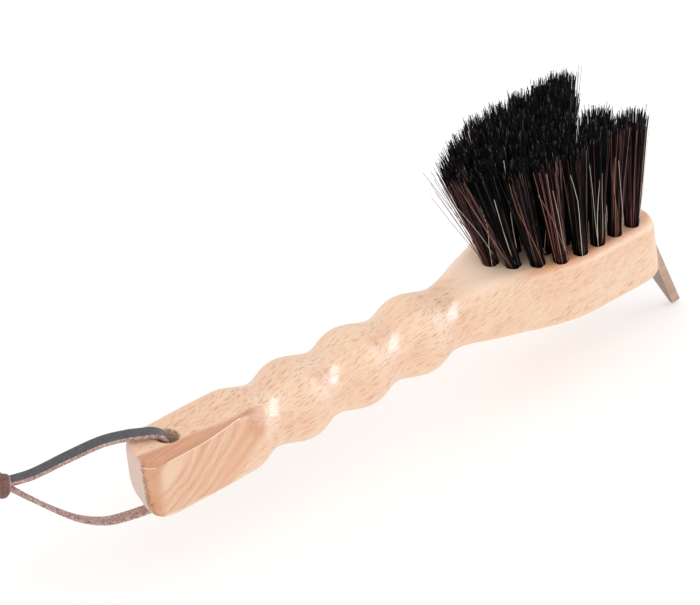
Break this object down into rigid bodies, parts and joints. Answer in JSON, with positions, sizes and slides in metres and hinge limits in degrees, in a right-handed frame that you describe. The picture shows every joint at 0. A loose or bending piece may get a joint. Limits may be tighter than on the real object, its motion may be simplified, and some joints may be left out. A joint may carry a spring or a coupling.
{
  "type": "hoof pick brush",
  "caption": "Wooden grooming brush with a wavy finger grip, an arrow-shaped field of dark bristle tufts, a bent steel hoof pick in the nose and a leather hanging lace through the tail.",
  "frame": {"origin": "on the axis of the lace hole in the tail, at mid thickness of the wood", "axes": "+X along the wood from the tail to the nose with the pick, +Z the side the bristles stand on, +Y across the handle"},
  "size_m": [0.245, 0.0498, 0.0777],
  "materials": {
    "beech": "fine sanded, lightly oiled",
    "bristle": "natural dark hair bristle",
    "staple_wire": "drawn wire",
    "pick_steel": "satin, bronze tinted",
    "lace_leather": "smooth grain side, rough flesh side"
  },
  "bodies": {
    "brush": {"wood_body": "beech", "tuft_r1a": "bristle", "tuft_r2a": "bristle", "tuft_r2b": "bristle", "tuft_r3a": "bristle", "tuft_r3b": "bristle", "tuft_r3c": "bristle", "tuft_r4a": "bristle", "tuft_r4b": "bristle", "tuft_r4c": "bristle", "tuft_r4d": "bristle", "tuft_r4e": "bristle", "tuft_r5a": "bristle", "tuft_r5b": "bristle", "tuft_r5c": "bristle", "tuft_r5d": "bristle", "tuft_r5e": "bristle", "tuft_r6a": "bristle", "tuft_r6b": "bristle", "tuft_r6c": "bristle", "tuft_r6d": "bristle", "tuft_r6e": "bristle", "tuft_r7a": "bristle", "tuft_r7b": "bristle", "tuft_r7c": "bristle", "tuft_r7d": "bristle", "tuft_r8a": "bristle", "tuft_r8b": "bristle", "tuft_anchors": "staple_wire", "pick": "pick_steel"},
    "lace_loop": {"lace": "lace_leather"}
  },
  "joints": [
    {"name": "lace_swing", "type": "hinge", "parent": "brush", "child": "lace_loop", "pos_m": [0, 0, 0], "axis": [0, 0, 1], "range_deg": [-60, 120]}
  ]
}
